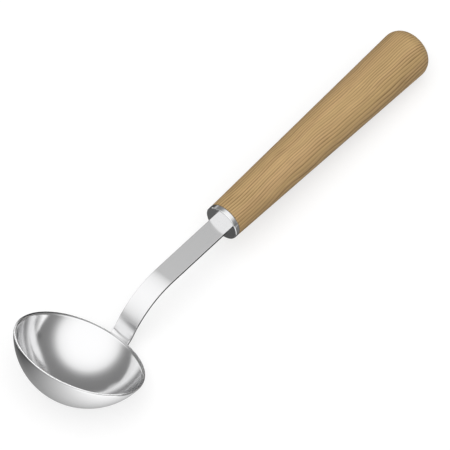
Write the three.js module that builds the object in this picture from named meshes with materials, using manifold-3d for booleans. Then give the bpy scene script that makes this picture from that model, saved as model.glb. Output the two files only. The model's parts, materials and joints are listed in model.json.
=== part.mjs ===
import * as THREE from 'three';
import { mergeVertices } from 'three/addons/utils/BufferGeometryUtils.js';
import Module from 'manifold-3d';

// Sauna ladle: a pressed steel bowl, a bent flat strap welded to its wall, and a turned wooden handle.
// It is drawn with the rim level and the handle rising towards +X, then laid down on bowl and butt.
// Lengths are in millimetres.

const degree = Math.PI / 180;

// Bowl, a cap of a sphere
const rimRadius = 45.6;
const bowlDepth = 33;
const bowlWall = 2.4;
const rimRound = 1.2;
const rimEdge = 0.3;

// Strap, from the foot on the bowl to the tang in the handle
const strapWidth = 14.6;
const strapThickness = 2;
const strapEdge = 0.4;
const footLength = 13;
const footCorner = 4;
const kneeRadius = 12;
const neckLean = 1.7 * degree;
const neckRise = 1.95;
const bendRadius = 47;
const handleRise = 33 * degree;
const strapRun = 56.2;
const tangWidth = 8;
const tangLength = 60;
const tangTipWidth = 5;
const tangTipLength = 5;

// Spot welds on the foot, two rows of two
const weldRadius = 2;
const weldThickness = 0.7;
const weldPitchAcross = 7;
const weldPitchAlong = 6;
const dimpleRadius = 2.3;
const dimpleDepth = 0.25;

// Ferrule, a cap on the front of the handle
const ferruleRadius = 12.9;
const ferruleLength = 4;
const ferruleWall = 1;
const ferruleEdge = 0.5;

// Handle
const gripLength = 195;
const buttRadius = 17.9;
const buttRound = 10.9;
const beddingWall = 0.8;
const beddingEnd = 2;
const drillPoint = 31 * degree;

// Clearance between pieces that meet
const seatGap = 0.3;

// Facets
const bowlSides = 60;
const handleSides = 48;
const weldSides = 20;
const bowlSteps = 15;
const edgeSteps = 2;
const footSteps = 5;
const bendSteps = 14;
const acrossSteps = 4;

const wasm = await Module();
wasm.setup();

const steel = { color: 0xd3d5d8, roughness: 0.12, metalness: 1 };
const wood = { color: 0xba9b6b, roughness: 0.55, metalness: 0 };
const resin = { color: 0xd8c59a, roughness: 0.4, metalness: 0 };

function piece(name, geometry, finish) {
  const mesh = new THREE.Mesh(geometry, new THREE.MeshStandardMaterial(finish));
  mesh.name = name;
  return mesh;
}

// A closed solid from a geometry. Every triangle keeps its own face number, so no flat face is re-cut.
function solidOf(geometry) {
  const bare = geometry.clone();
  bare.deleteAttribute('normal');
  bare.deleteAttribute('uv');
  const merged = mergeVertices(bare, 1e-5);
  const corners = [];
  for (let i = 0; i < merged.index.count; i += 3) {
    const [a, b, c] = merged.index.array.slice(i, i + 3);
    if (a !== b && b !== c && c !== a) corners.push(a, b, c);
  }
  return new wasm.Manifold(new wasm.Mesh({
    numProp: 3,
    vertProperties: merged.attributes.position.array,
    triVerts: Uint32Array.from(corners),
    faceID: Uint32Array.from({ length: corners.length / 3 }, (_, triangle) => triangle),
  }));
}

function geometryOf(solid) {
  const mesh = solid.getMesh();
  const geometry = new THREE.BufferGeometry();
  geometry.setAttribute('position', new THREE.BufferAttribute(mesh.vertProperties, 3));
  geometry.setIndex(new THREE.BufferAttribute(mesh.triVerts, 1));
  return geometry;
}

function cut(geometry, cutters) {
  let solid = solidOf(geometry);
  for (const cutter of cutters) solid = solid.subtract(solidOf(cutter));
  return geometryOf(solid);
}

const point = (x, y) => new THREE.Vector2(x, y);
const arc = (x, y, radius, from, to, steps) =>
  new THREE.EllipseCurve(x, y, radius, radius, from, to, to < from).getPoints(steps);
const corner = (from, tip, to) => new THREE.QuadraticBezierCurve(from, tip, to).getPoints(edgeSteps);

// A profile of (radius, height) turned about the bowl's upright axis.
const turnUpright = (profile, sides) => new THREE.LatheGeometry(profile, sides).rotateX(Math.PI / 2);
// A profile of (radius, distance) turned about the handle's axis, which is +X.
const turnAlong = (profile, sides) => new THREE.LatheGeometry(profile, sides).rotateZ(-Math.PI / 2);

// Bowl: the sphere's centre stands above the level rim, which is at height 0. The rim's radius is that of
// its outer corner before it is rounded.
const bowlRadius = (rimRadius ** 2 + bowlDepth ** 2) / (2 * bowlDepth);
const bowlCentre = bowlRadius - bowlDepth;
const rimSlope = Math.asin(bowlCentre / bowlRadius);

function makeBowl() {
  const innerRadius = bowlRadius - bowlWall;
  const round = Math.min(rimRound, bowlWall / 2);
  const roundRadius = Math.sqrt((bowlRadius - round) ** 2 - (bowlCentre + round) ** 2);
  const roundSlope = Math.asin((bowlCentre + round) / (bowlRadius - round));
  const edgeRadius = Math.sqrt((innerRadius + rimEdge) ** 2 - (bowlCentre + rimEdge) ** 2);
  const edgeSlope = Math.asin((bowlCentre + rimEdge) / (innerRadius + rimEdge));
  const bottom = -Math.PI / 2;
  const outer = arc(0, bowlCentre, bowlRadius, bottom, -roundSlope, bowlSteps);
  const inner = arc(0, bowlCentre, innerRadius, -edgeSlope, bottom, bowlSteps);
  outer[0].x = 0;
  inner[bowlSteps].x = 0;
  const profile = [
    ...outer.slice(0, -1),
    ...arc(roundRadius, -round, round, -roundSlope, Math.PI / 2, 2 * edgeSteps),
    ...arc(edgeRadius, -rimEdge, rimEdge, Math.PI / 2, Math.PI - edgeSlope, edgeSteps),
    ...inner.slice(1),
  ];
  return turnUpright(profile, bowlSides);
}

// Strap: stations along its centre line in the upright plane, each with a place and a heading.
// Headings turn up from +X, and the strap's outer side is on the right of its heading.
function walkStrap() {
  const stations = [];
  let x = 0;
  let z = 0;
  let heading = 0;
  let run = 0;
  const mark = (name) => stations.push({ x, z, heading, run, name });
  const straight = (length, name) => {
    x += length * Math.cos(heading);
    z += length * Math.sin(heading);
    run += length;
    mark(name);
  };
  const turn = (radius, toHeading, steps, name) => {
    const side = Math.sign(toHeading - heading) || 1;
    const centreX = x - side * radius * Math.sin(heading);
    const centreZ = z + side * radius * Math.cos(heading);
    const step = (toHeading - heading) / steps;
    for (let i = 1; i <= steps; i++) {
      heading += step;
      run += radius * Math.abs(step);
      x = centreX + side * radius * Math.sin(heading);
      z = centreZ - side * radius * Math.cos(heading);
      mark(i === steps ? name : undefined);
    }
  };

  const footRadius = bowlRadius + seatGap + strapThickness / 2;
  const footAngle = rimSlope + footLength / footRadius;
  x = footRadius * Math.cos(footAngle);
  z = bowlCentre - footRadius * Math.sin(footAngle);
  heading = Math.PI / 2 - footAngle;
  mark('footEnd');
  for (let i = 1; i <= footSteps; i++) {
    const round = 1 - Math.cos((Math.PI / 2) * (i / footSteps));
    turn(footRadius, Math.PI / 2 - footAngle + (footCorner * round) / footRadius, 1);
  }
  turn(footRadius, Math.PI / 2 - rimSlope, footSteps, 'rim');
  turn(kneeRadius, Math.PI / 2 - neckLean, edgeSteps, 'knee');
  straight(neckRise, 'neck');
  turn(bendRadius, handleRise, bendSteps, 'bend');
  straight(strapRun - seatGap, 'run');
  straight(seatGap, 'face');
  straight(ferruleWall / 2, 'slot');
  straight(ferruleWall / 2, 'shoulder');
  straight(tangLength - tangTipLength, 'tang');
  straight(tangTipLength, 'tip');
  return stations;
}

const strapStations = walkStrap();
const stationAt = (name) => strapStations.find((station) => station.name === name);
const rimStation = stationAt('rim');
const neckStation = stationAt('neck');
const faceStation = stationAt('face');

function widthAt(station) {
  if (station.name === 'tip') return tangTipWidth;
  if (station.run >= stationAt('shoulder').run) return tangWidth;
  if (station.run >= footCorner) return strapWidth;
  const short = footCorner - station.run;
  return strapWidth - 2 * (footCorner - Math.sqrt(footCorner ** 2 - short ** 2));
}

// Share of the bowl's roundness that the strap has across its width: all on the foot, none above the neck.
function dishAt(station) {
  const span = neckStation.run - rimStation.run;
  return THREE.MathUtils.clamp((neckStation.run - station.run) / span, 0, 1);
}

// One ring of the strap: a flat bar's section with rounded edges, as (across, outwards) points.
function strapSection(width) {
  const flat = width / 2 - strapEdge;
  const rise = strapThickness / 2 - strapEdge;
  const rounds = [];
  for (const [side, start] of [[1, 0], [-1, Math.PI / 2], [-1, Math.PI], [1, 1.5 * Math.PI]]) {
    const out = start < Math.PI ? 1 : -1;
    rounds.push(arc(side * flat, out * rise, strapEdge, start, start + Math.PI / 2, edgeSteps));
  }
  const between = Array.from({ length: acrossSteps - 1 }, (_, i) => 1 - (2 * (i + 1)) / acrossSteps);
  const top = between.map((share) => point(share * flat, strapThickness / 2));
  const bottom = between.map((share) => point(-share * flat, -strapThickness / 2));
  return [...rounds[0], ...top, ...rounds[1], ...rounds[2], ...bottom, ...rounds[3]];
}

function makeStrapBlank() {
  const places = [];
  const corners = [];
  for (const station of strapStations) {
    const outX = Math.sin(station.heading);
    const outZ = -Math.cos(station.heading);
    for (const { x: across, y: out } of strapSection(widthAt(station))) {
      const radius = bowlRadius + seatGap + strapThickness / 2 + out;
      const drop = dishAt(station) * (radius - Math.sqrt(radius ** 2 - across ** 2));
      places.push(station.x + (out - drop) * outX, across, station.z + (out - drop) * outZ);
    }
  }
  const ring = strapSection(strapWidth).length;
  const last = (strapStations.length - 1) * ring;
  for (let start = 0; start < last; start += ring) {
    for (let i = 0; i < ring; i++) {
      const next = (i + 1) % ring;
      corners.push(start + i, start + ring + next, start + next);
      corners.push(start + i, start + ring + i, start + ring + next);
    }
  }
  // Each end is closed by strips between its outer and its inner side.
  for (let i = 0; i < ring / 2 - 1; i++) {
    const far = ring - 1 - i;
    corners.push(i, i + 1, far, i + 1, far - 1, far);
    corners.push(last + i, last + far, last + i + 1, last + i + 1, last + far, last + far - 1);
  }
  const geometry = new THREE.BufferGeometry();
  geometry.setAttribute('position', new THREE.Float32BufferAttribute(places, 3));
  geometry.setIndex(corners);
  return geometry;
}

// Spot welds: places on the bowl's wall, each with the direction straight out of it.
function weldDirections() {
  const middle = rimSlope + footLength / 2 / bowlRadius;
  const directions = [];
  for (const along of [-0.5, 0.5]) {
    for (const across of [-0.5, 0.5]) {
      const down = middle + (along * weldPitchAlong) / bowlRadius;
      const aside = (across * weldPitchAcross) / bowlRadius;
      const level = Math.cos(aside);
      directions.push(new THREE.Vector3(level * Math.cos(down), Math.sin(aside), -level * Math.sin(down)));
    }
  }
  return directions;
}

// A profile of (radius, distance from the bowl's centre) turned about a weld's direction.
function turnAtWeld(profile, direction) {
  const swing = new THREE.Quaternion().setFromUnitVectors(new THREE.Vector3(0, 1, 0), direction);
  return new THREE.LatheGeometry(profile, weldSides).applyQuaternion(swing).translate(0, 0, bowlCentre);
}

const weldBase = bowlRadius + seatGap;
const weldTop = weldBase + weldThickness;
const strapOutside = weldBase + strapThickness;

function makeNugget(direction) {
  const waist = (weldBase + weldTop) / 2;
  const shoulder = weldRadius - weldThickness / 2;
  const rounded = arc(shoulder, waist, weldThickness / 2, -Math.PI / 2, Math.PI / 2, 2 * edgeSteps);
  return turnAtWeld([point(0, weldBase), ...rounded, point(0, weldTop)], direction);
}

function makeStrap() {
  const pocketRadius = weldRadius + seatGap;
  const dimpleRound = (dimpleRadius ** 2 + dimpleDepth ** 2) / (2 * dimpleDepth);
  const dimpleSpread = Math.asin(dimpleRadius / dimpleRound);
  const dimpleCentre = strapOutside - dimpleDepth + dimpleRound;
  const clear = bowlRadius - bowlWall;
  const pocket = [point(0, clear), point(pocketRadius, clear), point(pocketRadius, weldTop + seatGap),
    point(0, weldTop + seatGap)];
  const bottom = -Math.PI / 2;
  const dent = arc(0, dimpleCentre, dimpleRound, bottom, bottom + 2 * dimpleSpread, 4 * edgeSteps);
  dent[0].x = 0;
  const dimple = [...dent, point(0, dent[dent.length - 1].y)];
  const cutters = weldDirections().flatMap((direction) =>
    [turnAtWeld(pocket, direction), turnAtWeld(dimple, direction)]);
  return cut(makeStrapBlank(), cutters);
}

// Handle pieces, in a frame with its origin at the middle of the ferrule's face and +X along the handle.
const woodFront = ferruleWall + seatGap;
const woodShoulder = ferruleLength + seatGap;
const buttEnd = ferruleLength + gripLength;
const tangEnd = ferruleWall + tangLength;
const pocketWidth = tangWidth + 2 * seatGap;
const pocketHeight = strapThickness + 2 * seatGap;
const beddingRadius = Math.hypot(pocketWidth, pocketHeight) / 2 + beddingWall;
const boreRadius = beddingRadius + seatGap;
const beddingBack = tangEnd + seatGap + beddingEnd;
const boreBottom = beddingBack + seatGap;

function makeFerrule() {
  const inside = ferruleRadius - ferruleWall;
  const shell = [
    point(0, 0),
    ...corner(point(ferruleRadius - ferruleEdge, 0), point(ferruleRadius, 0), point(ferruleRadius, ferruleEdge)),
    point(ferruleRadius, ferruleLength),
    point(inside, ferruleLength),
    point(inside, ferruleWall),
    point(0, ferruleWall),
  ];
  const slotLength = strapWidth + 2 * seatGap;
  const slotHeight = strapThickness + 2 * seatGap;
  const slot = new THREE.BoxGeometry(4 * ferruleWall, slotLength, slotHeight);
  return cut(turnAlong(shell, handleSides), [slot]);
}

function makeGrip() {
  const spigotRadius = ferruleRadius - ferruleWall - seatGap;
  const roundX = buttEnd - buttRound;
  const roundRadius = buttRadius - buttRound;
  const rise = roundRadius - ferruleRadius;
  const reach = roundX - woodShoulder;
  const taper = Math.atan2(rise, reach) + Math.asin(buttRound / Math.hypot(rise, reach));
  const butt = arc(roundRadius, roundX, buttRound, -taper, Math.PI / 2, 4 * edgeSteps);
  const profile = [
    point(0, boreBottom + boreRadius * Math.tan(drillPoint)),
    point(boreRadius, boreBottom),
    point(boreRadius, woodFront),
    point(spigotRadius, woodFront),
    point(spigotRadius, woodShoulder),
    point(ferruleRadius, woodShoulder),
    ...butt,
    point(0, buttEnd),
  ];
  return turnAlong(profile, handleSides);
}

function makeBedding() {
  const plug = [point(0, woodFront), point(beddingRadius, woodFront), point(beddingRadius, beddingBack),
    point(0, beddingBack)];
  const pocketLength = 2 * (tangEnd + seatGap);
  const pocket = new THREE.BoxGeometry(pocketLength, pocketWidth, pocketHeight);
  return cut(turnAlong(plug, weldSides), [pocket]);
}

const handle = new THREE.Group();
handle.position.set(faceStation.x, 0, faceStation.z);
handle.rotation.y = -handleRise;
handle.add(
  piece('ferrule', makeFerrule(), steel),
  piece('grip', makeGrip(), wood),
  piece('tang_bedding', makeBedding(), resin),
);

const ladle = new THREE.Group();
ladle.add(piece('bowl', makeBowl(), steel), piece('strap', makeStrap(), steel), handle);
weldDirections().forEach((direction, i) => {
  ladle.add(piece(`weld_nugget_${i + 1}`, makeNugget(direction), steel));
});

// Laid down: the floor is the line that touches both the bowl's sphere and the butt's rounding.
function lieAngle() {
  const along = buttEnd - buttRound;
  const below = buttRadius - buttRound;
  const x = faceStation.x + along * Math.cos(handleRise) + below * Math.sin(handleRise);
  const z = faceStation.z + along * Math.sin(handleRise) - below * Math.cos(handleRise) - bowlCentre;
  return Math.atan2(z, x) + Math.asin((bowlRadius - buttRound) / Math.hypot(x, z));
}

ladle.rotation.y = lieAngle();
const box = new THREE.Box3().setFromObject(ladle, true);
ladle.position.set(-(box.min.x + box.max.x) / 2, 0, -box.min.z);

export default ladle;
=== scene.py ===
import json
import math

import bmesh
import bpy
from mathutils import Matrix, Vector


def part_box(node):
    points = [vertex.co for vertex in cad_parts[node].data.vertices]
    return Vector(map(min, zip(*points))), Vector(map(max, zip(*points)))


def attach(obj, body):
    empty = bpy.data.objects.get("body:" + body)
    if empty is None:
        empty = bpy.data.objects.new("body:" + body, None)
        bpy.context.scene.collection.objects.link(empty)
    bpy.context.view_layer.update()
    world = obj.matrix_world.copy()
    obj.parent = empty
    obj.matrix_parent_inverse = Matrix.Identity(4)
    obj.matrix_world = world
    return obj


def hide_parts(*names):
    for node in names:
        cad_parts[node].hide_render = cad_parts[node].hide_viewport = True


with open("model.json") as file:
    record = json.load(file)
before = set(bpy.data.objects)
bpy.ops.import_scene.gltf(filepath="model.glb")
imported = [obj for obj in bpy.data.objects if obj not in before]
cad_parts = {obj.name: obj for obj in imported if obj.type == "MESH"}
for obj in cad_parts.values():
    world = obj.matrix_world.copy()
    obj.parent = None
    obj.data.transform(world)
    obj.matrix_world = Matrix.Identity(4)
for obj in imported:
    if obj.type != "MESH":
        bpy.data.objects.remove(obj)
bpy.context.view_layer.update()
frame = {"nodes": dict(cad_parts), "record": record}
scene = bpy.context.scene
scene.view_settings.view_transform = "Standard"
mm = 0.001

# where the ladle lies: the butt's flat face gives the handle's line, the bowl's box gives its sphere
ladle = {
    "rimRadius": 45.6 * mm,           # where the outer sphere meets the rim's plane
    "bowlDepth": 33 * mm,
    "handleLength": 199 * mm,         # from the ferrule's face to the butt
    "handleRise": math.radians(33),   # of the handle over the rim's plane
    "seatGap": 0.3 * mm,              # between pieces that are welded, pressed or glued
}
mounts = {mount["name"]: mount for mount in frame["record"]["mounts"]}
handleAxis = Vector(mounts["butt_face"]["axis"])
faceCentre = Vector(mounts["butt_face"]["pos_m"]) - handleAxis * ladle["handleLength"]
handleSlope = math.asin(-handleAxis.z)
bowlTilt = ladle["handleRise"] + handleSlope
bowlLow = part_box("bowl")[0]
bowlRadius = (ladle["rimRadius"] ** 2 + ladle["bowlDepth"] ** 2) / (2 * ladle["bowlDepth"])
bowlCentre = Vector((bowlLow[0] + bowlRadius, 0, bowlLow[2] + bowlRadius))
layBowl = Matrix.Translation(bowlCentre) @ Matrix.Rotation(bowlTilt, 4, "Y")
layHandle = Matrix.Translation(faceCentre) @ Matrix.Rotation(handleSlope, 4, "Y")
rimHeight = ladle["bowlDepth"] - bowlRadius   # of the rim's plane, from the sphere's centre
print("frame loaded: bowl tilted", round(math.degrees(bowlTilt), 2), "degrees")


# drawing and turning

samePoint = 1e-6                  # metres, closer points become one
shortEdge = 1e-7                  # metres, shorter edges are dissolved
creaseAngle = math.radians(40)    # sharper edges stay hard in the shading
cornerAngle = math.radians(60)    # sharper edges are picked for rounding


def vertsIn(parts):
    return [part for part in parts if isinstance(part, bmesh.types.BMVert)]


def spinOn(bm, geom, centre, axis, angle, steps, merge=False):
    made = bmesh.ops.spin(bm, geom=geom, cent=centre, axis=axis, dvec=(0, 0, 0), angle=angle, steps=steps,
                          use_merge=merge, use_normal_flip=False, use_duplicate=False)
    return made["geom_last"]


def penLine(bm, tip, to):
    made = bmesh.ops.extrude_vert_indiv(bm, verts=[tip])
    end = made["verts"][0]
    end.co = Vector(to)
    return end


def penArc(bm, tip, centre, angle, steps):
    return vertsIn(spinOn(bm, [tip], centre, (0, 1, 0), angle, steps))[0]


def turnProfile(bm, axis, steps):
    spinOn(bm, bm.verts[:] + bm.edges[:], (0, 0, 0), axis, 2 * math.pi, steps, merge=True)
    bmesh.ops.remove_doubles(bm, verts=bm.verts[:], dist=samePoint)
    bmesh.ops.dissolve_degenerate(bm, edges=bm.edges[:], dist=shortEdge)
    bmesh.ops.recalc_face_normals(bm, faces=bm.faces[:])


def sharpEdges(bm, angle):
    return [edge for edge in bm.edges if edge.is_manifold and edge.calc_face_angle(0) > angle]


# rounds the corners that lie farther out than a radius, on a piece turned about X
def roundOuterEdges(bm, beyond, size, segments):
    edges = [edge for edge in sharpEdges(bm, cornerAngle)
             if all(math.hypot(vert.co.y, vert.co.z) > beyond for vert in edge.verts)]
    bmesh.ops.bevel(bm, geom=edges, offset=size, offset_type="OFFSET", affect="EDGES", segments=segments,
                    profile=0.5, material=-1, clamp_overlap=True)


def addObject(bm, name, material):
    mesh = bpy.data.meshes.new(name)
    bm.to_mesh(mesh)
    bm.free()
    mesh.materials.append(material)
    made = bpy.data.objects.new(name, mesh)
    scene.collection.objects.link(made)
    return made


def finishPiece(bm, place, name, material, node):
    bmesh.ops.transform(bm, matrix=place, verts=bm.verts[:])
    bmesh.ops.recalc_face_normals(bm, faces=bm.faces[:])
    for face in bm.faces:
        face.smooth = True
    for edge in sharpEdges(bm, creaseAngle):
        edge.smooth = False
    piece = addObject(bm, name, material)
    weighted = piece.modifiers.new("evenShading", "WEIGHTED_NORMAL")
    weighted.mode = "FACE_AREA"
    weighted.keep_sharp = True
    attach(piece, "root")
    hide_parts(node)


# material helpers

def newMaterial(name):
    material = bpy.data.materials.new(name)
    material.use_nodes = True
    return material, material.node_tree.nodes["Principled BSDF"]


def addNode(tree, kind, inputs=None, **settings):
    made = tree.nodes.new(kind)
    for key, value in settings.items():
        setattr(made, key, value)
    for key, value in (inputs or {}).items():
        if isinstance(value, bpy.types.NodeSocket):
            tree.links.new(value, made.inputs[key])
        else:
            made.inputs[key].default_value = value
    return made


def addMath(tree, operation, first, second):
    return addNode(tree, "ShaderNodeMath", {0: first, 1: second}, operation=operation).outputs[0]


def addVectors(tree, operation, first, second):
    return addNode(tree, "ShaderNodeVectorMath", {0: first, 1: second}, operation=operation).outputs[0]


def addRange(tree, value, fromEnds, toEnds=(0.0, 1.0)):
    made = addNode(tree, "ShaderNodeMapRange", {"Value": value, "From Min": fromEnds[0],
                   "From Max": fromEnds[1], "To Min": toEnds[0], "To Max": toEnds[1]})
    return made.outputs["Result"]


def addMix(tree, share, first, second):
    made = addNode(tree, "ShaderNodeMix", {"Factor": share, "A": first, "B": second}, data_type="RGBA")
    return made.outputs["Result"]


def addRamp(tree, value, stops):
    ramp = addNode(tree, "ShaderNodeValToRGB", {"Fac": value})
    elements = ramp.color_ramp.elements
    while len(elements) < len(stops):
        elements.new(1.0)
    for element, (position, color) in zip(elements, stops):
        element.position = position
        element.color = color
    return ramp.outputs["Color"]


def opaque(color):
    return (*color, 1)


def grey(shade):
    return (shade, shade, shade, 1)


# object coordinates, moved to a place on the ladle and turned to lie along the piece
def layPattern(tree, centre, turn):
    where = addNode(tree, "ShaderNodeTexCoord").outputs["Object"]
    shift = addVectors(tree, "SUBTRACT", where, centre)
    return addNode(tree, "ShaderNodeMapping", {"Vector": shift, "Rotation": (0, -turn, 0)}).outputs["Vector"]


def newGroup(name, values, result):
    group = bpy.data.node_groups.new(name, "ShaderNodeTree")
    group.interface.new_socket("Vector", in_out="INPUT", socket_type="NodeSocketVector")
    for key, value in values.items():
        socket = group.interface.new_socket(key, in_out="INPUT", socket_type="NodeSocketFloat")
        socket.default_value = value
    group.interface.new_socket(result, in_out="OUTPUT", socket_type="NodeSocketFloat")
    given = addNode(group, "NodeGroupInput").outputs
    return group, given, addNode(group, "NodeGroupOutput").inputs[result]


# haze: slow cloudy changes of roughness that wiping and handling leave on a finish

hazeCloud = {
    "detail": 4.0,
    "rough": 0.6,
    "ends": (0.3, 0.7),      # the noise's values that become the smoothest and the roughest
}


def makeHazeGroup():
    values = {"Scale": 60.0, "Smoothest": 0.05, "Roughest": 0.1}
    group, given, result = newGroup("wipedHaze", values, "Roughness")
    cloud = addNode(group, "ShaderNodeTexNoise", {"Vector": given["Vector"], "Scale": given["Scale"],
                    "Detail": hazeCloud["detail"], "Roughness": hazeCloud["rough"]}).outputs["Fac"]
    spread = addRange(group, cloud, hazeCloud["ends"], (given["Smoothest"], given["Roughest"]))
    group.links.new(spread, result)
    return group


# polish: the fine lines that a polishing wheel leaves, as a height that runs along X of its vector

polishNoise = {
    "along": 30.0,           # waves per metre
    "across": 6000.0,
    "detail": 3.0,
    "rough": 0.55,
}


def makePolishGroup():
    values = {"Along": polishNoise["along"], "Across": polishNoise["across"]}
    group, given, result = newGroup("polishLines", values, "Height")
    stretch = addNode(group, "ShaderNodeCombineXYZ", {"X": given["Along"], "Y": given["Across"],
                      "Z": given["Across"]}).outputs[0]
    drawn = addVectors(group, "MULTIPLY", given["Vector"], stretch)
    lines = addNode(group, "ShaderNodeTexNoise", {"Vector": drawn, "Scale": 1.0,
                    "Detail": polishNoise["detail"], "Roughness": polishNoise["rough"]}).outputs["Fac"]
    group.links.new(lines, result)
    return group


hazeGroup = makeHazeGroup()
polishGroup = makePolishGroup()


def addHaze(tree, vector, finish):
    made = addNode(tree, "ShaderNodeGroup", {"Vector": vector, "Scale": finish["hazeScale"],
                   "Smoothest": finish["smoothest"], "Roughest": finish["roughest"]}, node_tree=hazeGroup)
    return made.outputs["Roughness"]


# polished stainless steel

steelFinish = {
    "color": (0.86, 0.86, 0.865),
    "smoothest": 0.13,
    "roughest": 0.175,
    "hazeScale": 45.0,
    "lineStrength": 0.02,
    "lineDepth": 0.02 * mm,
}


# lines run along the piece, or round the bowl where spun is set
def makeSteel(name, turn, centre, spun):
    material, shader = newMaterial(name)
    tree = material.node_tree
    local = layPattern(tree, centre, turn)
    drawn = local
    if spun:
        axes = addNode(tree, "ShaderNodeSeparateXYZ", {"Vector": local}).outputs
        flat = addNode(tree, "ShaderNodeCombineXYZ", {"X": axes["X"], "Y": axes["Y"]}).outputs[0]
        away = addNode(tree, "ShaderNodeVectorMath", {0: flat}, operation="LENGTH").outputs["Value"]
        drift = addMath(tree, "ADD", axes["X"], axes["Y"])
        drawn = addNode(tree, "ShaderNodeCombineXYZ", {"X": drift, "Y": away, "Z": axes["Z"]}).outputs[0]
    lines = addNode(tree, "ShaderNodeGroup", {"Vector": drawn}, node_tree=polishGroup).outputs["Height"]
    bump = addNode(tree, "ShaderNodeBump", {"Strength": steelFinish["lineStrength"],
                   "Distance": steelFinish["lineDepth"], "Height": lines})
    shader.inputs["Base Color"].default_value = opaque(steelFinish["color"])
    shader.inputs["Metallic"].default_value = 1.0
    tree.links.new(addHaze(tree, local, steelFinish), shader.inputs["Roughness"])
    tree.links.new(bump.outputs["Normal"], shader.inputs["Normal"])
    return material


# wood

woodFinish = {
    "ringSpacing": 1.7 * mm,
    "ringFall": ((0.0, 0.0), (0.2, 0.0), (0.4, 0.22), (0.62, 0.4), (0.82, 1.0), (0.94, 0.9),
                 (1.0, 0.1)),         # how much late wood there is, from one ring's start to its end
    "pithAway": 60 * mm,              # growth centre, off to the handle's side
    "pithSide": math.radians(24),     # round the handle, from +Y over the top
    "warp": 6 * mm,
    "bow": 0.12,                      # how fast the grain curves off to -Y, per metre
    "bowStart": 40 * mm,              # where it still runs straight, from the ferrule's face
    "early": (0.545, 0.365, 0.172),
    "late": (0.245, 0.15, 0.062),
    "rosy": (0.56, 0.36, 0.179),
    "olive": (0.52, 0.36, 0.156),
    "tintShare": 0.4,                 # of rosy and olive in the early wood
    "lateStrength": (0.4, 1.0),       # weakest and strongest late wood along a ring
    "fibreShade": (0.84, 1.14),
    "poreShade": (1.0, 0.85),
    "smoothest": 0.46,
    "roughest": 0.6,
    "hazeScale": 70.0,
    "reliefStrength": 0.25,
    "reliefDepth": 0.05 * mm,
    "gloss": 0.25,
}

# noise drawn out along the grain: scale is in waves per metre along and across, ends are its values in use
woodStreaks = {
    "sway": {"scale": (22, 36, 36), "detail": 1.0, "rough": 0.5, "seed": 3.0},
    "fade": {"scale": (14, 260, 260), "detail": 2.0, "rough": 0.5, "seed": 11.0, "ends": (0.35, 0.65)},
    "hue": {"scale": (5, 130, 130), "detail": 2.0, "rough": 0.5, "seed": 23.0, "ends": (0.38, 0.62)},
    "fibre": {"scale": (26, 1100, 1100), "detail": 3.0, "rough": 0.6, "seed": 31.0, "ends": (0.25, 0.75)},
    "pore": {"scale": (220, 3600, 3600), "detail": 1.0, "rough": 0.5, "seed": 47.0, "ends": (0.66, 0.78)},
}
waveLength = 2 * math.pi / 20         # of the wave texture at a scale of 1
noiseMiddle = (0.5, 0.5, 0.5)


def addStreaks(tree, vector, name):
    streak = woodStreaks[name]
    drawn = addNode(tree, "ShaderNodeMapping", {"Vector": vector, "Scale": streak["scale"],
                    "Location": (streak["seed"],) * 3}).outputs["Vector"]
    return addNode(tree, "ShaderNodeTexNoise", {"Vector": drawn, "Scale": 1.0, "Detail": streak["detail"],
                   "Roughness": streak["rough"]}).outputs


def addStreakRange(tree, vector, name, toEnds=(0.0, 1.0)):
    return addRange(tree, addStreaks(tree, vector, name)["Fac"], woodStreaks[name]["ends"], toEnds)


# growth rings about a pith beside the handle, in grain that sways and bows aside
def addRings(tree, along, swayed):
    distance = addNode(tree, "ShaderNodeSeparateXYZ", {"Vector": along}).outputs["X"]
    past = addMath(tree, "SUBTRACT", distance, woodFinish["bowStart"])
    bow = addMath(tree, "MULTIPLY", addMath(tree, "MULTIPLY", past, past), woodFinish["bow"])
    aside = addNode(tree, "ShaderNodeCombineXYZ", {"Y": bow}).outputs[0]
    bowed = addVectors(tree, "ADD", swayed, aside)
    pith = (0, -woodFinish["pithAway"] * math.cos(woodFinish["pithSide"]),
            -woodFinish["pithAway"] * math.sin(woodFinish["pithSide"]))
    about = addNode(tree, "ShaderNodeMapping", {"Vector": bowed, "Location": pith}).outputs["Vector"]
    rings = addNode(tree, "ShaderNodeTexWave", {"Vector": about, "Distortion": 0.0,
                    "Scale": waveLength / woodFinish["ringSpacing"]},
                    wave_type="RINGS", rings_direction="X", wave_profile="SAW")
    stops = [(share, grey(value)) for share, value in woodFinish["ringFall"]]
    return addRamp(tree, rings.outputs["Fac"], stops)


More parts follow.
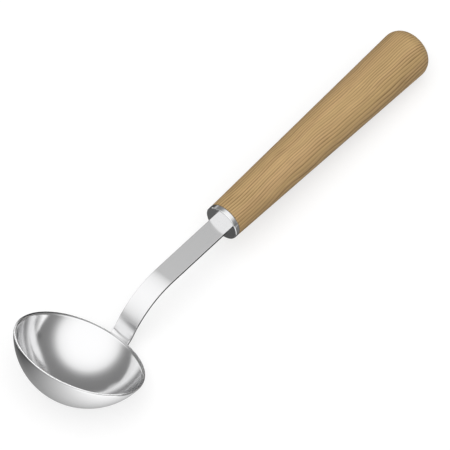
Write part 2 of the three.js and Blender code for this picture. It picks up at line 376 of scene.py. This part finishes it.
def makeWood(name):
    material, shader = newMaterial(name)
    tree = material.node_tree
    along = layPattern(tree, faceCentre, handleSlope)
    sway = addVectors(tree, "SUBTRACT", addStreaks(tree, along, "sway")["Color"], noiseMiddle)
    warp = addVectors(tree, "MULTIPLY", sway, (0, woodFinish["warp"], woodFinish["warp"]))
    swayed = addVectors(tree, "ADD", along, warp)
    lateWood = addMath(tree, "MULTIPLY", addRings(tree, along, swayed),
                       addStreakRange(tree, swayed, "fade", woodFinish["lateStrength"]))
    hue = addStreakRange(tree, swayed, "hue")
    tint = addMix(tree, hue, opaque(woodFinish["olive"]), opaque(woodFinish["rosy"]))
    earlyWood = addMix(tree, woodFinish["tintShare"], opaque(woodFinish["early"]), tint)
    ringed = addMix(tree, lateWood, earlyWood, opaque(woodFinish["late"]))
    shade = addMath(tree, "MULTIPLY", addStreakRange(tree, swayed, "fibre", woodFinish["fibreShade"]),
                    addStreakRange(tree, swayed, "pore", woodFinish["poreShade"]))
    relief = addMath(tree, "ADD", shade, lateWood)
    bump = addNode(tree, "ShaderNodeBump", {"Strength": woodFinish["reliefStrength"],
                   "Distance": woodFinish["reliefDepth"], "Height": relief})
    tree.links.new(addVectors(tree, "MULTIPLY", ringed, shade), shader.inputs["Base Color"])
    tree.links.new(addHaze(tree, along, woodFinish), shader.inputs["Roughness"])
    tree.links.new(bump.outputs["Normal"], shader.inputs["Normal"])
    shader.inputs["Specular IOR Level"].default_value = woodFinish["gloss"]
    return material


# inner pieces: weld metal and the adhesive round the tang

weldFinish = {
    "color": (0.45, 0.44, 0.43),
    "dark": 0.8,                      # the roughest places are this much of the colour
    "metallic": 1.0,
    "smoothest": 0.35,
    "roughest": 0.6,
    "hazeScale": 900.0,
}
resinFinish = {
    "color": (0.62, 0.47, 0.24),
    "dark": 0.8,
    "metallic": 0.0,
    "smoothest": 0.25,
    "roughest": 0.5,
    "hazeScale": 250.0,
}


def makeInner(name, finish):
    material, shader = newMaterial(name)
    tree = material.node_tree
    where = addNode(tree, "ShaderNodeTexCoord").outputs["Object"]
    haze = addHaze(tree, where, finish)
    dark = opaque(finish["dark"] * part for part in finish["color"])
    tint = addRamp(tree, haze, ((finish["smoothest"], opaque(finish["color"])), (finish["roughest"], dark)))
    tree.links.new(tint, shader.inputs["Base Color"])
    tree.links.new(haze, shader.inputs["Roughness"])
    shader.inputs["Metallic"].default_value = finish["metallic"]
    return material


bowlSteel = makeSteel("bowlSteel", bowlTilt, bowlCentre, spun=True)
strapSteel = makeSteel("strapSteel", handleSlope, faceCentre, spun=False)
handleWood = makeWood("handleWood")
weldSteel = makeInner("weldSteel", weldFinish)
tangResin = makeInner("tangResin", resinFinish)
print("materials made")


# bowl

bowlSizes = {
    "wall": 2.4 * mm,
    "rimReach": 45.1 * mm,      # the rim's outer radius
    "rimDrop": 0.46 * mm,       # keeps the sharp outer edge as low as the solid's round one
    "rimTurn": 3 * mm,          # turns the wall upright under the edge
    "rimEdge": 0.3 * mm,
    "rimRound": 1.5 * mm,       # on the inside
    "roundSteps": 10,
    "edgeSteps": 4,
    "arcSteps": 48,
    "turnSteps": 192,
}


def makeBowl():
    size = bowlSizes
    bm = bmesh.new()
    inner = bowlRadius - size["wall"]
    top = rimHeight - size["rimDrop"]
    reach = size["rimReach"]
    edge = size["rimEdge"]
    turnArm = bowlRadius - size["rimTurn"]
    turnSlope = math.acos((reach - size["rimTurn"]) / turnArm)
    turnCentre = (reach - size["rimTurn"], 0, -turnArm * math.sin(turnSlope))
    roundArm = inner + size["rimRound"]
    roundSlope = math.asin((size["rimRound"] - top) / roundArm)
    roundCentre = (roundArm * math.cos(roundSlope), 0, top - size["rimRound"])
    tip = bm.verts.new((0, 0, -bowlRadius))
    tip = penArc(bm, tip, (0, 0, 0), turnSlope - math.pi / 2, size["arcSteps"])
    tip = penArc(bm, tip, turnCentre, -turnSlope, size["roundSteps"])
    tip = penLine(bm, tip, (reach, 0, top - edge))
    tip = penArc(bm, tip, (reach - edge, 0, top - edge), -math.pi / 2, size["edgeSteps"])
    tip = penLine(bm, tip, (roundCentre[0], 0, top))
    tip = penArc(bm, tip, roundCentre, roundSlope - math.pi / 2, size["roundSteps"])
    penArc(bm, tip, (0, 0, 0), math.pi / 2 - roundSlope, size["arcSteps"])
    turnProfile(bm, (0, 0, 1), size["turnSteps"])
    finishPiece(bm, layBowl, "pressed_bowl", bowlSteel, "bowl")


# strap

strapSizes = {
    "width": 14.6 * mm,
    "thickness": 2 * mm,
    "edge": 0.15 * mm,
    "seatFill": 0.28 * mm,      # closes the gap where the foot is pressed on the bowl
    "footLength": 13 * mm,
    "footCorner": 4 * mm,
    "kneeRadius": 12 * mm,
    "neckLean": math.radians(1.7),
    "neckRise": 1.95 * mm,
    "bendRadius": 47 * mm,
    "run": 56.2 * mm,           # straight, from the bend to the ferrule
    "tangWidth": 8 * mm,
    "tangTipWidth": 5 * mm,
    "tangLength": 60 * mm,
    "tangTip": 5 * mm,
    "dimpleRadius": 2.3 * mm,
    "dimpleDepth": 0.25 * mm,
    "dimpleSkin": 0.1 * mm,     # only the strap's outside, within this, is dimpled
    "weldAcross": 7 * mm,
    "weldAlong": 6 * mm,
    "edgeSegments": 3,
    "acrossCuts": 27,
    "cornerSteps": 9,
    "footSteps": 18,
    "kneeSteps": 10,
    "bendSteps": 48,
}


class StripWalk:
    # a ring of the strip is spun or pulled on from where the last step ended

    def __init__(self, bm, ring, heading):
        self.bm = bm
        self.ring = ring
        self.heading = heading

    def middle(self):
        verts = vertsIn(self.ring)
        return sum((vert.co for vert in verts), Vector()) / len(verts)

    def turn(self, radius, heading, steps):
        side = math.copysign(1, heading - self.heading)
        left = Vector((-math.sin(self.heading), 0, math.cos(self.heading)))
        centre = self.middle() + side * radius * left
        self.ring = spinOn(self.bm, self.ring, centre, (0, 1, 0), self.heading - heading, steps)
        self.heading = heading

    def pull(self, length):
        edges = [part for part in self.ring if isinstance(part, bmesh.types.BMEdge)]
        made = bmesh.ops.extrude_edge_only(self.bm, edges=edges)
        verts = vertsIn(made["geom"])
        ends = [edge for edge in {edge for vert in verts for edge in vert.link_edges}
                if all(vert in verts for vert in edge.verts)]
        self.ring = verts + ends
        step = Vector((math.cos(self.heading), 0, math.sin(self.heading))) * length
        bmesh.ops.translate(self.bm, vec=step, verts=verts)

    def widen(self, factor):
        bmesh.ops.scale(self.bm, vec=(1, factor, 1), verts=vertsIn(self.ring))


# from the bowl's centre to the middles of the four spot welds
def weldDirections(middle):
    found = []
    for along in (-0.5, 0.5):
        for across in (-0.5, 0.5):
            down = middle + along * strapSizes["weldAlong"] / bowlRadius
            aside = across * strapSizes["weldAcross"] / bowlRadius
            level = math.cos(aside)
            found.append(Vector((level * math.cos(down), math.sin(aside), -level * math.sin(down))))
    return found


def makeStrap():
    size = strapSizes
    bm = bmesh.new()
    footRadius = bowlRadius + ladle["seatGap"] + size["thickness"] / 2
    rimSlope = math.asin(-rimHeight / bowlRadius)
    footAngle = rimSlope + size["footLength"] / footRadius

    # section at the foot's end, with round edges, cut fine across for the dish and the dimples
    bmesh.ops.create_grid(bm, x_segments=1, y_segments=1, size=0.5)
    bmesh.ops.scale(bm, vec=(size["thickness"], size["width"], 1), verts=bm.verts[:])
    bmesh.ops.bevel(bm, geom=bm.verts[:], offset=size["edge"], offset_type="OFFSET", affect="VERTICES",
                    segments=size["edgeSegments"], profile=0.5, material=-1)
    bmesh.ops.delete(bm, geom=bm.faces[:], context="FACES_ONLY")
    longSides = [edge for edge in bm.edges if edge.calc_length() > size["width"] / 2]
    bmesh.ops.subdivide_edges(bm, edges=longSides, cuts=size["acrossCuts"])
    bmesh.ops.translate(bm, vec=(footRadius, 0, 0), verts=bm.verts[:])
    bmesh.ops.rotate(bm, cent=(0, 0, 0), matrix=Matrix.Rotation(footAngle, 3, "Y"), verts=bm.verts[:])
    footEnd = math.pi / 2 - footAngle
    walk = StripWalk(bm, bm.verts[:] + bm.edges[:], footEnd)

    # the foot's round corners, then the way up over the rim and into the handle
    width = size["width"]
    for step in range(size["cornerSteps"] + 1):
        turned = math.pi / 2 * step / size["cornerSteps"]
        if step:
            done = size["footCorner"] * (1 - math.cos(turned))
            walk.turn(footRadius, footEnd + done / footRadius, 1)
        wider = size["width"] - 2 * size["footCorner"] * (1 - math.sin(turned))
        walk.widen(wider / width)
        width = wider
    walk.turn(footRadius, math.pi / 2 - rimSlope, size["footSteps"])
    walk.turn(size["kneeRadius"], math.pi / 2 - size["neckLean"], size["kneeSteps"])
    walk.pull(size["neckRise"])
    walk.turn(size["bendRadius"], ladle["handleRise"], size["bendSteps"])
    walk.pull(size["run"])
    walk.pull(ferruleSizes["wall"] / 2)
    walk.pull(ferruleSizes["wall"] / 2)
    walk.widen(size["tangWidth"] / size["width"])
    walk.pull(size["tangLength"] - size["tangTip"])
    walk.pull(size["tangTip"])
    walk.widen(size["tangTipWidth"] / size["tangWidth"])
    bmesh.ops.holes_fill(bm, edges=[edge for edge in bm.edges if edge.is_boundary])
    bmesh.ops.recalc_face_normals(bm, faces=bm.faces[:])

    # the foot is dished to the bowl, and flattens out over the neck
    neckTop = rimHeight + size["kneeRadius"] * (rimSlope - size["neckLean"]) + size["neckRise"]
    for vert in bm.verts:
        dish = min(max((neckTop - vert.co.z) / (neckTop - rimHeight), 0), 1)
        if dish > 0:
            level = Vector((vert.co.x, 0, vert.co.z))
            drop = level.length - math.sqrt(level.length ** 2 - vert.co.y ** 2)
            if level.length < footRadius:
                drop += size["seatFill"]
            vert.co -= level.normalized() * dish * drop

    # electrode marks of the four spot welds
    outside = footRadius + size["thickness"] / 2
    for direction in weldDirections(rimSlope + size["footLength"] / 2 / bowlRadius):
        for vert in bm.verts:
            off = (vert.co - direction * vert.co.dot(direction)).length
            if off < size["dimpleRadius"] and abs(vert.co.length - outside) < size["dimpleSkin"]:
                vert.co -= direction * size["dimpleDepth"] * (1 - (off / size["dimpleRadius"]) ** 2)
    finishPiece(bm, layBowl, "bent_strap", strapSteel, "strap")


# ferrule

ferruleSizes = {
    "radius": 12.9 * mm,
    "length": 4 * mm,
    "wall": 1 * mm,
    "edge": 0.8 * mm,
    "slotGap": 0.02 * mm,
    "edgeSegments": 5,
    "turnSteps": 128,
}
endFacing = 0.9      # a normal's share along the axis, past which a face is one of the front wall's


def makeFerrule():
    size = ferruleSizes
    bm = bmesh.new()
    inside = size["radius"] - size["wall"]
    tip = bm.verts.new((0, 0, 0))
    for along, out in ((0, size["radius"]), (size["length"], size["radius"]), (size["length"], inside),
                       (size["wall"], inside), (size["wall"], 0)):
        tip = penLine(bm, tip, (along, 0, out))
    turnProfile(bm, (1, 0, 0), size["turnSteps"])

    # slot for the strap, cut through the front wall
    halfWidth = strapSizes["width"] / 2 + size["slotGap"]
    halfHeight = strapSizes["thickness"] / 2 + size["slotGap"]
    for normal, reach in (((0, 1, 0), halfWidth), ((0, -1, 0), halfWidth),
                          ((0, 0, 1), halfHeight), ((0, 0, -1), halfHeight)):
        faces = [face for face in bm.faces if abs(face.normal.x) > endFacing]
        edges = list({edge for face in faces for edge in face.edges})
        verts = list({vert for face in faces for vert in face.verts})
        bmesh.ops.bisect_plane(bm, geom=faces + edges + verts, dist=shortEdge,
                               plane_co=Vector(normal) * reach, plane_no=normal)
    inSlot = [face for face in bm.faces if abs(face.calc_center_median().y) < halfWidth
              and abs(face.calc_center_median().z) < halfHeight]
    bmesh.ops.delete(bm, geom=inSlot, context="FACES")
    bmesh.ops.bridge_loops(bm, edges=[edge for edge in bm.edges if edge.is_boundary])
    bmesh.ops.recalc_face_normals(bm, faces=bm.faces[:])
    roundOuterEdges(bm, inside + size["wall"] / 2, size["edge"], size["edgeSegments"])
    finishPiece(bm, layHandle, "ferrule_cap", strapSteel, "ferrule")


# grip

gripSizes = {
    "seam": 0.06 * mm,          # between the ferrule and the wood
    "seamEdge": 0.15 * mm,
    "buttRadius": 17.9 * mm,
    "buttRound": 10.9 * mm,
    "boreRadius": 5.6 * mm,
    "boreBottom": 63.6 * mm,
    "drillPoint": math.radians(31),
    "seamSegments": 2,
    "buttSteps": 20,
    "turnSteps": 144,
}


def makeGrip():
    size = gripSizes
    bm = bmesh.new()
    front = ferruleSizes["wall"] + ladle["seatGap"]
    shoulder = ferruleSizes["length"] + size["seam"]
    spigot = ferruleSizes["radius"] - ferruleSizes["wall"] - ladle["seatGap"]
    roundX = ladle["handleLength"] - size["buttRound"]
    roundZ = size["buttRadius"] - size["buttRound"]
    reach = roundX - shoulder
    rise = roundZ - ferruleSizes["radius"]
    taper = math.atan2(rise, reach) + math.asin(size["buttRound"] / math.hypot(rise, reach))
    tip = bm.verts.new((size["boreBottom"] + size["boreRadius"] * math.tan(size["drillPoint"]), 0, 0))
    for along, out in ((size["boreBottom"], size["boreRadius"]), (front, size["boreRadius"]), (front, spigot),
                       (shoulder, spigot), (shoulder, ferruleSizes["radius"]),
                       (roundX - size["buttRound"] * math.sin(taper),
                        roundZ + size["buttRound"] * math.cos(taper))):
        tip = penLine(bm, tip, (along, 0, out))
    tip = penArc(bm, tip, (roundX, 0, roundZ), math.pi / 2 + taper, size["buttSteps"])
    penLine(bm, tip, (ladle["handleLength"], 0, 0))
    turnProfile(bm, (1, 0, 0), size["turnSteps"])
    roundOuterEdges(bm, spigot + size["seamEdge"], size["seamEdge"], size["seamSegments"])
    finishPiece(bm, layHandle, "turned_grip", handleWood, "grip")


makeBowl()
makeStrap()
makeFerrule()
makeGrip()
for name, node in frame["nodes"].items():
    if name.startswith("weld_nugget") or name == "tang_bedding":
        node.data.materials.clear()
        node.data.materials.append(tangResin if name == "tang_bedding" else weldSteel)
print("pieces made")


# studio: a white dome over the camera's side, a grey wall low down on the far side, and a pale ground

studio = {
    "domeAzimuth": math.radians(-132.5),
    "domeElevation": math.radians(69.5),
    "domeFall": ((0, 1.0), (30, 0.985), (42, 0.92), (49, 0.83), (53.5, 0.69), (57.5, 0.48), (62, 0.335),
                 (67, 0.245), (76, 0.205), (90, 0.19)),      # brightness by degrees from the dome's middle
    "domeSpan": math.radians(90),
    "groundAzimuth": math.radians(-92),                      # where the ground is brightest
    "groundElevation": math.radians(-9),
    "groundFall": ((-0.65, 0.05), (-0.5, 0.1), (-0.4, 0.175), (-0.3, 0.25), (-0.15, 0.35), (0.05, 0.48),
                   (0.25, 0.63), (0.45, 0.81), (0.62, 0.98)),   # brightness by its lean to that side
    "horizon": math.radians(-3),
    "horizonBlur": 0.02,
    "flagAzimuth": math.radians(-44),                        # a dark flag, low on the right
    "flagElevation": math.radians(-38),
    "flagSize": math.radians(24),
    "flagEdge": math.radians(36),
    "flagShade": 0.2,
    "panels": {
        "bandPanel": {"azimuth": math.radians(66), "elevation": math.radians(8), "size": math.radians(4),
                      "edge": math.radians(9), "shade": 0.5},        # pale, low behind the handle
        "lipPanel": {"azimuth": math.radians(22.5), "elevation": math.radians(-4.5), "size": math.radians(4),
                     "edge": math.radians(6), "shade": 1.3},         # white, in line with the rim's flat
    },
    "strength": 1.16,
    "lamps": {
        "softLamp": {"azimuth": math.radians(-137.5), "elevation": math.radians(69.5), "strength": 0.5,
                     "angle": math.radians(70)},
        "fillLamp": {"azimuth": math.radians(95), "elevation": math.radians(62), "strength": 0.36,
                     "angle": math.radians(90)},
    },
}


def aimAt(azimuth, elevation):
    level = math.cos(elevation)
    return Vector((level * math.cos(azimuth), level * math.sin(azimuth), math.sin(elevation)))


def addLean(tree, toward, azimuth, elevation):
    made = addNode(tree, "ShaderNodeVectorMath", {0: toward, 1: aimAt(azimuth, elevation)},
                   operation="DOT_PRODUCT")
    return made.outputs["Value"]


def addDome(tree, toward):
    facing = addLean(tree, toward, studio["domeAzimuth"], studio["domeElevation"])
    angle = addNode(tree, "ShaderNodeMath", {0: facing}, operation="ARCCOSINE").outputs[0]
    share = addRange(tree, angle, (0.0, studio["domeSpan"]))
    stops = [(math.radians(degrees) / studio["domeSpan"], grey(value))
             for degrees, value in studio["domeFall"]]
    return addRamp(tree, share, stops)


def addGround(tree, toward):
    slant = addLean(tree, toward, studio["groundAzimuth"], studio["groundElevation"])
    share = addRange(tree, slant, (-1.0, 1.0))
    ground = addRamp(tree, share, [((lean + 1) / 2, grey(value)) for lean, value in studio["groundFall"]])
    nearFlag = addLean(tree, toward, studio["flagAzimuth"], studio["flagElevation"])
    flagEnds = (math.cos(studio["flagEdge"]), math.cos(studio["flagSize"]))
    flag = addRange(tree, nearFlag, flagEnds, (1.0, studio["flagShade"]))
    return addVectors(tree, "MULTIPLY", ground, flag)


def makeWorld():
    world = bpy.data.worlds.new("studio")
    scene.world = world
    world.use_nodes = True
    tree = world.node_tree
    tree.nodes.clear()
    toward = addNode(tree, "ShaderNodeTexCoord").outputs["Generated"]
    height = addNode(tree, "ShaderNodeSeparateXYZ", {"Vector": toward}).outputs["Z"]
    horizon = math.sin(studio["horizon"])
    above = addRange(tree, height, (horizon - studio["horizonBlur"], horizon + studio["horizonBlur"]))
    room = addMix(tree, above, addGround(tree, toward), addDome(tree, toward))
    for panel in studio["panels"].values():
        nearPanel = addLean(tree, toward, panel["azimuth"], panel["elevation"])
        mask = addRange(tree, nearPanel, (math.cos(panel["edge"]), math.cos(panel["size"])))
        room = addMix(tree, mask, room, grey(panel["shade"]))
    lit = addNode(tree, "ShaderNodeBackground", {"Color": room, "Strength": studio["strength"]})
    seen = addNode(tree, "ShaderNodeBackground", {"Color": grey(1), "Strength": 1.0})
    path = addNode(tree, "ShaderNodeLightPath")
    pick = addNode(tree, "ShaderNodeMixShader", {0: path.outputs["Is Camera Ray"], 1: lit.outputs[0],
                   2: seen.outputs[0]})
    addNode(tree, "ShaderNodeOutputWorld", {"Surface": pick.outputs[0]})


def makeLamp(name, azimuth, elevation, strength, angle):
    data = bpy.data.lights.new(name, "SUN")
    data.energy = strength
    data.angle = angle
    lamp = bpy.data.objects.new(name, data)
    scene.collection.objects.link(lamp)
    lamp.rotation_mode = "QUATERNION"
    lamp.rotation_quaternion = aimAt(azimuth, elevation).to_track_quat("Z", "Y")
    lamp.visible_glossy = False      # the steel shows the dome instead


# floor

floorLook = {
    "radius": 3.0,
    "segments": 96,
    "shade": 0.42,
    "glow": 0.62,      # for the camera alone, so that the paper is white away from the shadow
}


def makeFloor():
    bm = bmesh.new()
    bmesh.ops.create_circle(bm, cap_ends=True, segments=floorLook["segments"], radius=floorLook["radius"])
    material = bpy.data.materials.new("floorPaper")
    material.use_nodes = True
    tree = material.node_tree
    tree.nodes.clear()
    paper = addNode(tree, "ShaderNodeBsdfDiffuse", {"Color": grey(floorLook["shade"])})
    path = addNode(tree, "ShaderNodeLightPath")
    glow = addMath(tree, "MULTIPLY", path.outputs["Is Camera Ray"], floorLook["glow"])
    shine = addNode(tree, "ShaderNodeEmission", {"Strength": glow})
    both = addNode(tree, "ShaderNodeAddShader", {0: paper.outputs[0], 1: shine.outputs[0]})
    addNode(tree, "ShaderNodeOutputMaterial", {"Surface": both.outputs[0]})
    floor = addObject(bm, "floor", material)
    floor.visible_glossy = False     # the polished steel shows the studio's own ground


# cards that only show as reflections. On the floor lie dark ones before the ferrule's face and beside the
# strap,
# which are painted shadow: the ladle's shadow on the floor, which the steel can't mirror from the floor
# itself;
# dark ones beside the ferrule's band, and behind the handle and the rim; and pale ones behind the bowl's lip

floorCards = {
    # painted shadow: the ladle's shadow on the floor under the ferrule's face, for the face to mirror
    "faceShadowCard": {"low": (-48 * mm, -9 * mm), "high": (-14 * mm, 38 * mm), "shade": 0.14},
    # painted shadow: the strap's shadow on the floor beside it, for the strap's side to mirror
    "strapShadowCard": {"low": (-94 * mm, -25 * mm), "high": (-1 * mm, -11 * mm), "shade": 0.05},
    "bandCard": {"low": (-1 * mm, -150 * mm), "high": (60 * mm, 4 * mm), "shade": 0.19},
    "backCard": {"low": (-5 * mm, 15 * mm), "high": (260 * mm, 180 * mm), "shade": 0.08},
    "edgeCard": {"low": (-128 * mm, 60 * mm), "high": (-60 * mm, 135 * mm), "shade": 0.02},
    "lipNear": {"low": (-165 * mm, 84 * mm), "high": (-128 * mm, 198 * mm), "shade": 0.95},
    "lipFar": {"low": (-128 * mm, 138 * mm), "high": (-76 * mm, 198 * mm), "shade": 0.95},
}
cardLift = 0.5 * mm      # over the floor

# upright ones glow: white behind the bowl, grey beside the ferrule, and dark where the rim's far end shows it
standCards = {
    "lipCard": {"start": (-44 * mm, 200 * mm), "end": (61 * mm, 200 * mm), "heights": (43 * mm, 43 * mm),
                "shade": 1.0},
    "lipSide": {"start": (-260 * mm, 200 * mm), "end": (-44 * mm, 200 * mm), "heights": (114 * mm, 43 * mm),
                "shade": 0.87},
    "bandStand": {"start": (40 * mm, -194 * mm), "end": (105 * mm, -194 * mm), "heights": (45 * mm, 45 * mm),
                  "shade": 0.16},
    "rimStand": {"start": (0, 85 * mm), "end": (0, 130 * mm), "heights": (35 * mm, 35 * mm), "shade": 0.02},
}


def finishCard(bm, name, color, glow):
    material, shader = newMaterial(name)
    shader.inputs["Base Color"].default_value = color
    shader.inputs["Specular IOR Level"].default_value = 0.0
    shader.inputs["Emission Color"].default_value = grey(1)
    shader.inputs["Emission Strength"].default_value = glow
    card = addObject(bm, name, material)
    card.visible_camera = False
    card.visible_diffuse = False
    card.visible_shadow = False
    card.visible_transmission = False


def makeFloorCard(name, low, high, shade):
    bm = bmesh.new()
    bmesh.ops.create_grid(bm, x_segments=1, y_segments=1, size=0.5)
    bmesh.ops.scale(bm, vec=(high[0] - low[0], high[1] - low[1], 1), verts=bm.verts[:])
    middle = ((high[0] + low[0]) / 2, (high[1] + low[1]) / 2, cardLift)
    bmesh.ops.translate(bm, vec=middle, verts=bm.verts[:])
    finishCard(bm, name, grey(shade), 0.0)


def makeStandCard(name, start, end, heights, shade):
    bm = bmesh.new()
    corners = ((*start, 0), (*end, 0), (*end, heights[1]), (*start, heights[0]))
    bmesh.ops.contextual_create(bm, geom=[bm.verts.new(corner) for corner in corners])
    finishCard(bm, name, grey(0), shade)


# camera

camera = {
    "aim": Vector((-7.8, 0, 21.6)) * mm,
    "azimuth": math.radians(-137.6),
    "elevation": math.radians(56.72),
    "roll": math.radians(-1.5),
    "distance": 2.628,
    "lens": 320.0,
    "sensor": 36.0,
    "farthest": 50.0,
}


def makeCamera():
    data = bpy.data.cameras.new("camera")
    data.lens = camera["lens"]
    data.sensor_width = camera["sensor"]
    data.sensor_fit = "HORIZONTAL"
    data.clip_end = camera["farthest"]
    eye = bpy.data.objects.new("camera", data)
    scene.collection.objects.link(eye)
    back = aimAt(camera["azimuth"], camera["elevation"])
    turn = back.to_track_quat("Z", "Y").to_matrix().to_4x4() @ Matrix.Rotation(camera["roll"], 4, "Z")
    eye.matrix_world = Matrix.Translation(camera["aim"] + back * camera["distance"]) @ turn
    scene.camera = eye


makeWorld()
makeFloor()
for name, card in floorCards.items():
    makeFloorCard(name, **card)
for name, card in standCards.items():
    makeStandCard(name, **card)
for name, lamp in studio["lamps"].items():
    makeLamp(name, **lamp)
makeCamera()
print("studio and camera made")
